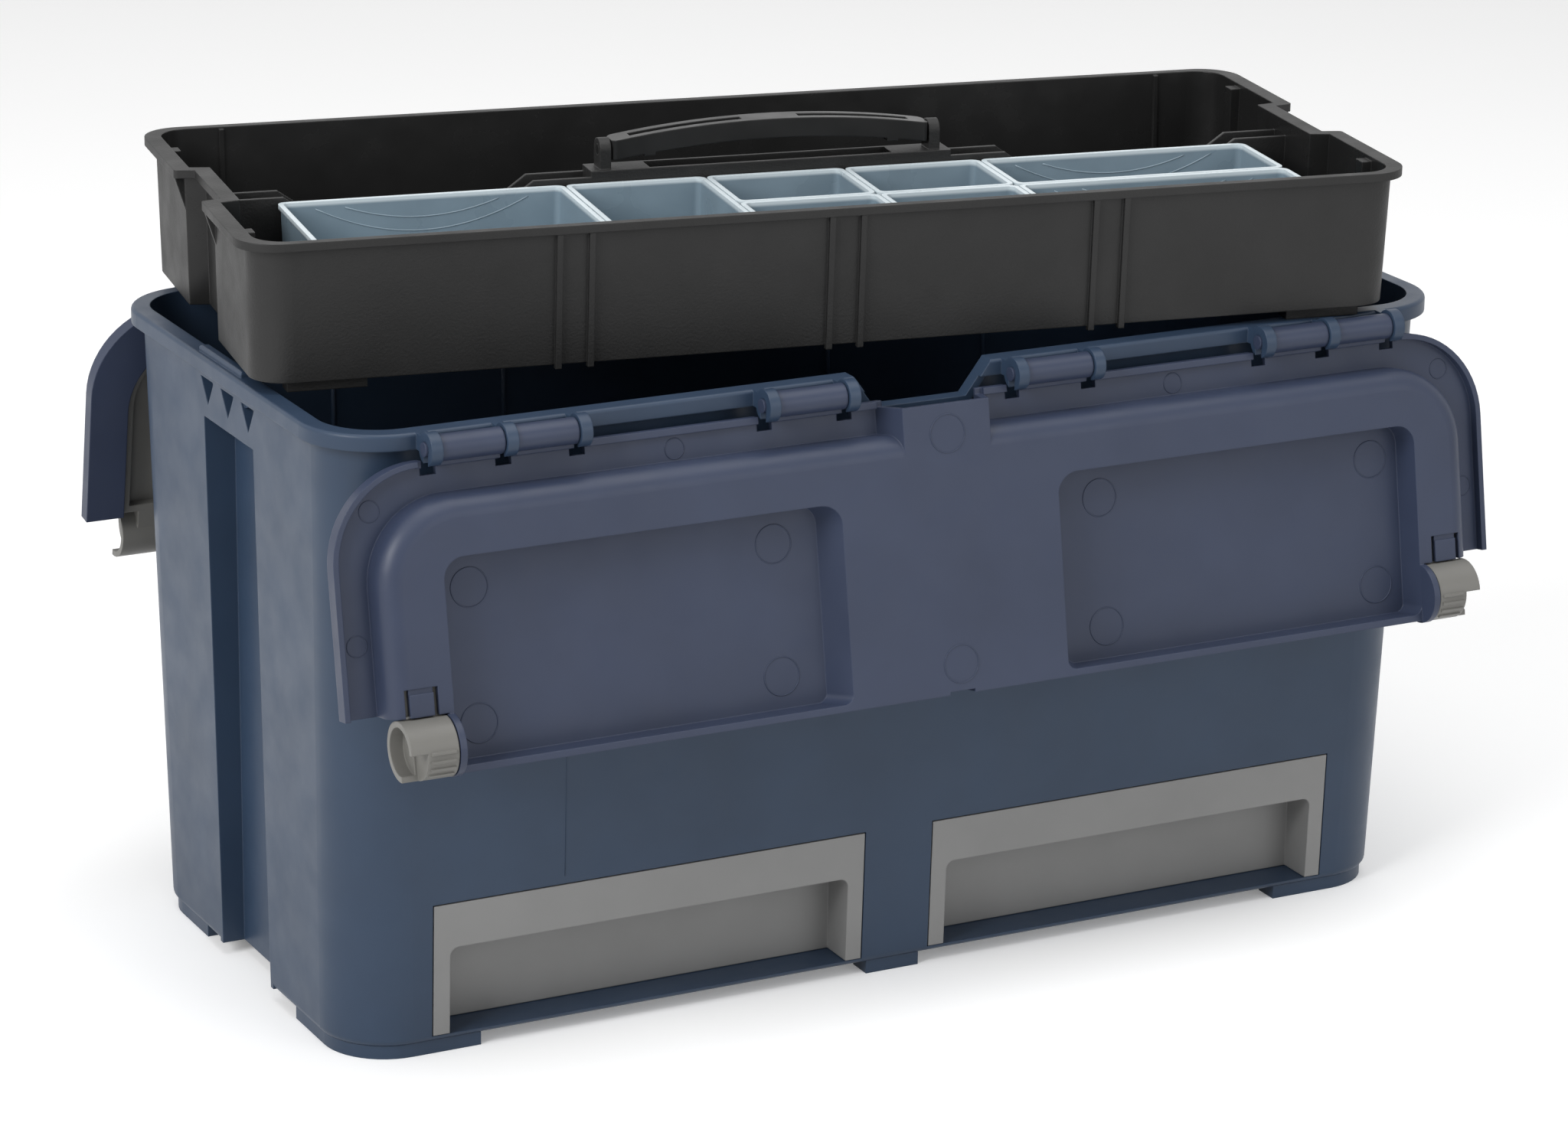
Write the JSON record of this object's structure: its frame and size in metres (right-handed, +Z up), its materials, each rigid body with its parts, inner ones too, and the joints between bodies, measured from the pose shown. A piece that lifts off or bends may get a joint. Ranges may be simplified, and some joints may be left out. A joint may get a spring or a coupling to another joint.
{
  "type": "tool case",
  "caption": "Deep plastic tool case with hinged half lids and carrying handles, front drawers, and a lift-out tray holding loose translucent boxes.",
  "frame": {"origin": "on the floor, under the middle of the case", "axes": "+X along the length to the right, the front faces -Y, +Z up"},
  "size_m": [0.5525, 0.356, 0.3596],
  "materials": {
    "navy": "fine grained dark navy polypropylene",
    "grey": "fine grained mid-grey polypropylene",
    "black": "grained black polypropylene, glossier inside",
    "clear": "translucent bluish, smooth"
  },
  "bodies": {
    "case_shell": {"case_shell": "navy"},
    "front_lid": {"front_lid": "navy"},
    "rear_lid": {"rear_lid": "navy"},
    "front_handle": {"front_handle": "grey"},
    "rear_handle": {"rear_handle": "grey"},
    "left_drawer": {"left_drawer": "grey"},
    "right_drawer": {"right_drawer": "grey"},
    "tray": {"tray": "black"},
    "tray_handle": {"tray_handle": "black"},
    "insert_1": {"insert_1": "clear"},
    "insert_2": {"insert_2": "clear"},
    "insert_3": {"insert_3": "clear"},
    "insert_4": {"insert_4": "clear"},
    "insert_5": {"insert_5": "clear"},
    "insert_6": {"insert_6": "clear"},
    "insert_7": {"insert_7": "clear"},
    "insert_8": {"insert_8": "clear"}
  },
  "joints": [
    {"name": "front_lid_swing", "type": "hinge", "parent": "case_shell", "child": "front_lid", "pos_m": [0, -0.1366, 0.2747], "axis": [-1, 0, 0], "range_deg": [0, 150]},
    {"name": "rear_lid_swing", "type": "hinge", "parent": "case_shell", "child": "rear_lid", "pos_m": [0, 0.1366, 0.2747], "axis": [1, 0, 0], "range_deg": [0, 110]},
    {"name": "front_handle_swing", "type": "hinge", "parent": "front_lid", "child": "front_handle", "pos_m": [0, -0.16461, 0.15819], "axis": [-1, 0, 0], "range_deg": [0, 75]},
    {"name": "rear_handle_swing", "type": "hinge", "parent": "rear_lid", "child": "rear_handle", "pos_m": [0, 0.16461, 0.15819], "axis": [1, 0, 0], "range_deg": [0, 55]},
    {"name": "left_drawer_slide", "type": "slide", "parent": "case_shell", "child": "left_drawer", "axis": [0, -1, 0], "range_m": [0, 0.17]},
    {"name": "right_drawer_slide", "type": "slide", "parent": "case_shell", "child": "right_drawer", "axis": [0, -1, 0], "range_m": [0, 0.17]},
    {"name": "tray_lift", "type": "slide", "parent": "case_shell", "child": "tray", "axis": [0, 0, 1], "range_m": [0, 0.25]},
    {"name": "tray_handle_fold", "type": "hinge", "parent": "tray", "child": "tray_handle", "pos_m": [-0.00384, 0.01087, 0.3493], "axis": [-0.9869, 0.1616, 0], "range_deg": [0, 80]},
    {"name": "insert_1_lift", "type": "slide", "parent": "tray", "child": "insert_1", "axis": [0, 0, 1], "range_m": [0, 0.08]},
    {"name": "insert_2_lift", "type": "slide", "parent": "tray", "child": "insert_2", "axis": [0, 0, 1], "range_m": [0, 0.08]},
    {"name": "insert_3_lift", "type": "slide", "parent": "tray", "child": "insert_3", "axis": [0, 0, 1], "range_m": [0, 0.08]},
    {"name": "insert_4_lift", "type": "slide", "parent": "tray", "child": "insert_4", "axis": [0, 0, 1], "range_m": [0, 0.08]},
    {"name": "insert_5_lift", "type": "slide", "parent": "tray", "child": "insert_5", "axis": [0, 0, 1], "range_m": [0, 0.08]},
    {"name": "insert_6_lift", "type": "slide", "parent": "tray", "child": "insert_6", "axis": [0, 0, 1], "range_m": [0, 0.08]},
    {"name": "insert_7_lift", "type": "slide", "parent": "tray", "child": "insert_7", "axis": [0, 0, 1], "range_m": [0, 0.08]},
    {"name": "insert_8_lift", "type": "slide", "parent": "tray", "child": "insert_8", "axis": [0, 0, 1], "range_m": [0, 0.08]}
  ],
  "couplings": [
    {"joint": "front_handle_swing", "follows": "front_lid_swing", "ratio": 0.5},
    {"joint": "rear_handle_swing", "follows": "rear_lid_swing", "ratio": 0.5}
  ]
}
